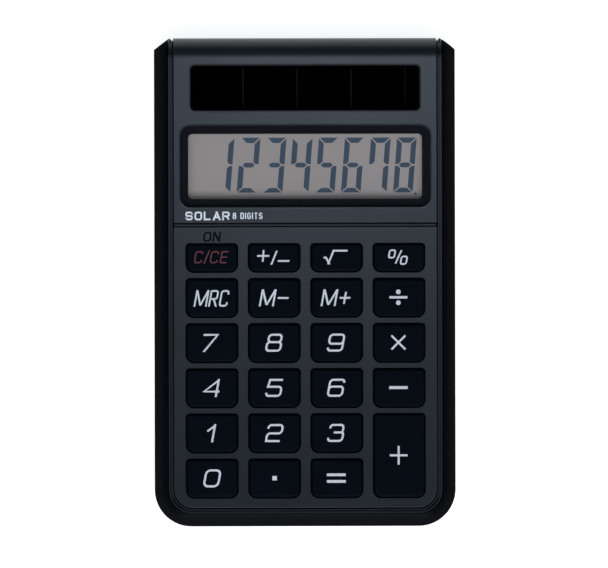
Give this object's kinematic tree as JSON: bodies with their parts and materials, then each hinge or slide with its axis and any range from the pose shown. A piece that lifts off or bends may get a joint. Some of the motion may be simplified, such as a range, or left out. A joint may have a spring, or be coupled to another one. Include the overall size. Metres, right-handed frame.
{
  "type": "pocket calculator",
  "caption": "Slim solar pocket calculator: grey front panels with a segment display, a solar window and sprung keys, framed by a black case with rounded rails.",
  "frame": {"origin": "middle of the footprint, on the surface that the rubber feet stand on", "axes": "+Z out of the front face, +Y along the case towards the display, +X to the right of the keys"},
  "size_m": [0.0702, 0.114, 0.0109],
  "materials": {
    "case_black": "satin moulded, fine grain",
    "front_grey": "satin moulded",
    "panel_grey": "fine matte grain",
    "key_black": "smooth satin",
    "lens_clear": "polished acrylic",
    "window_smoke": "polished smoked acrylic",
    "solar_film": "dark amorphous film behind glass",
    "polariser_film": "clear film",
    "display_glass": "clear polished",
    "reflector_film": "silver grey, finely frosted",
    "zebra_rubber": "striped",
    "board_laminate": "solder mask with printed carbon",
    "mat_silicone": "soft, translucent grey",
    "chip_epoxy": "poured epoxy",
    "capacitor_ceramic": "dipped",
    "diode_red": "moulded",
    "wire_red": "smooth sleeve",
    "wire_black": "smooth sleeve",
    "screw_steel": "plated",
    "foot_rubber": "matte"
  },
  "bodies": {
    "case": {"board_screws": "screw_steel", "capacitor": "capacitor_ceramic", "case_screws": "screw_steel", "chip_cap": "chip_epoxy", "circuit_board": "board_laminate", "display_lens": "lens_clear", "display_panel": "panel_grey", "front_case": "front_grey", "key_mat": "mat_silicone", "keypad_panel": "panel_grey", "lcd_front_glass": "display_glass", "lcd_front_polariser": "polariser_film", "lcd_rear_glass": "display_glass", "lcd_reflector": "reflector_film", "rear_case": "case_black", "regulator_diode": "diode_red", "rubber_feet": "foot_rubber", "solar_cell": "solar_film", "solar_window": "window_smoke", "solar_wire_black": "wire_black", "solar_wire_red": "wire_red", "zebra_strip": "zebra_rubber"},
    "key_0": {"key_0": "key_black"},
    "key_1": {"key_1": "key_black"},
    "key_2": {"key_2": "key_black"},
    "key_3": {"key_3": "key_black"},
    "key_4": {"key_4": "key_black"},
    "key_5": {"key_5": "key_black"},
    "key_6": {"key_6": "key_black"},
    "key_7": {"key_7": "key_black"},
    "key_8": {"key_8": "key_black"},
    "key_9": {"key_9": "key_black"},
    "key_clear": {"key_clear": "key_black"},
    "key_divide": {"key_divide": "key_black"},
    "key_equals": {"key_equals": "key_black"},
    "key_memory_minus": {"key_memory_minus": "key_black"},
    "key_memory_plus": {"key_memory_plus": "key_black"},
    "key_memory_recall": {"key_memory_recall": "key_black"},
    "key_minus": {"key_minus": "key_black"},
    "key_multiply": {"key_multiply": "key_black"},
    "key_percent": {"key_percent": "key_black"},
    "key_plus": {"key_plus": "key_black"},
    "key_point": {"key_point": "key_black"},
    "key_root": {"key_root": "key_black"},
    "key_sign": {"key_sign": "key_black"}
  },
  "joints": [
    {"name": "press_0", "type": "slide", "parent": "case", "child": "key_0", "axis": [0, 0, -1], "range_m": [0, 0.001], "stiffness_N_per_m": 600, "deforming": ["key_mat"]},
    {"name": "press_1", "type": "slide", "parent": "case", "child": "key_1", "axis": [0, 0, -1], "range_m": [0, 0.001], "stiffness_N_per_m": 600, "deforming": ["key_mat"]},
    {"name": "press_2", "type": "slide", "parent": "case", "child": "key_2", "axis": [0, 0, -1], "range_m": [0, 0.001], "stiffness_N_per_m": 600, "deforming": ["key_mat"]},
    {"name": "press_3", "type": "slide", "parent": "case", "child": "key_3", "axis": [0, 0, -1], "range_m": [0, 0.001], "stiffness_N_per_m": 600, "deforming": ["key_mat"]},
    {"name": "press_4", "type": "slide", "parent": "case", "child": "key_4", "axis": [0, 0, -1], "range_m": [0, 0.001], "stiffness_N_per_m": 600, "deforming": ["key_mat"]},
    {"name": "press_5", "type": "slide", "parent": "case", "child": "key_5", "axis": [0, 0, -1], "range_m": [0, 0.001], "stiffness_N_per_m": 600, "deforming": ["key_mat"]},
    {"name": "press_6", "type": "slide", "parent": "case", "child": "key_6", "axis": [0, 0, -1], "range_m": [0, 0.001], "stiffness_N_per_m": 600, "deforming": ["key_mat"]},
    {"name": "press_7", "type": "slide", "parent": "case", "child": "key_7", "axis": [0, 0, -1], "range_m": [0, 0.001], "stiffness_N_per_m": 600, "deforming": ["key_mat"]},
    {"name": "press_8", "type": "slide", "parent": "case", "child": "key_8", "axis": [0, 0, -1], "range_m": [0, 0.001], "stiffness_N_per_m": 600, "deforming": ["key_mat"]},
    {"name": "press_9", "type": "slide", "parent": "case", "child": "key_9", "axis": [0, 0, -1], "range_m": [0, 0.001], "stiffness_N_per_m": 600, "deforming": ["key_mat"]},
    {"name": "press_clear", "type": "slide", "parent": "case", "child": "key_clear", "axis": [0, 0, -1], "range_m": [0, 0.001], "stiffness_N_per_m": 600, "deforming": ["key_mat"]},
    {"name": "press_divide", "type": "slide", "parent": "case", "child": "key_divide", "axis": [0, 0, -1], "range_m": [0, 0.001], "stiffness_N_per_m": 600, "deforming": ["key_mat"]},
    {"name": "press_equals", "type": "slide", "parent": "case", "child": "key_equals", "axis": [0, 0, -1], "range_m": [0, 0.001], "stiffness_N_per_m": 600, "deforming": ["key_mat"]},
    {"name": "press_memory_minus", "type": "slide", "parent": "case", "child": "key_memory_minus", "axis": [0, 0, -1], "range_m": [0, 0.001], "stiffness_N_per_m": 600, "deforming": ["key_mat"]},
    {"name": "press_memory_plus", "type": "slide", "parent": "case", "child": "key_memory_plus", "axis": [0, 0, -1], "range_m": [0, 0.001], "stiffness_N_per_m": 600, "deforming": ["key_mat"]},
    {"name": "press_memory_recall", "type": "slide", "parent": "case", "child": "key_memory_recall", "axis": [0, 0, -1], "range_m": [0, 0.001], "stiffness_N_per_m": 600, "deforming": ["key_mat"]},
    {"name": "press_minus", "type": "slide", "parent": "case", "child": "key_minus", "axis": [0, 0, -1], "range_m": [0, 0.001], "stiffness_N_per_m": 600, "deforming": ["key_mat"]},
    {"name": "press_multiply", "type": "slide", "parent": "case", "child": "key_multiply", "axis": [0, 0, -1], "range_m": [0, 0.001], "stiffness_N_per_m": 600, "deforming": ["key_mat"]},
    {"name": "press_percent", "type": "slide", "parent": "case", "child": "key_percent", "axis": [0, 0, -1], "range_m": [0, 0.001], "stiffness_N_per_m": 600, "deforming": ["key_mat"]},
    {"name": "press_plus", "type": "slide", "parent": "case", "child": "key_plus", "axis": [0, 0, -1], "range_m": [0, 0.001], "stiffness_N_per_m": 600, "deforming": ["key_mat"]},
    {"name": "press_point", "type": "slide", "parent": "case", "child": "key_point", "axis": [0, 0, -1], "range_m": [0, 0.001], "stiffness_N_per_m": 600, "deforming": ["key_mat"]},
    {"name": "press_root", "type": "slide", "parent": "case", "child": "key_root", "axis": [0, 0, -1], "range_m": [0, 0.001], "stiffness_N_per_m": 600, "deforming": ["key_mat"]},
    {"name": "press_sign", "type": "slide", "parent": "case", "child": "key_sign", "axis": [0, 0, -1], "range_m": [0, 0.001], "stiffness_N_per_m": 600, "deforming": ["key_mat"]}
  ]
}
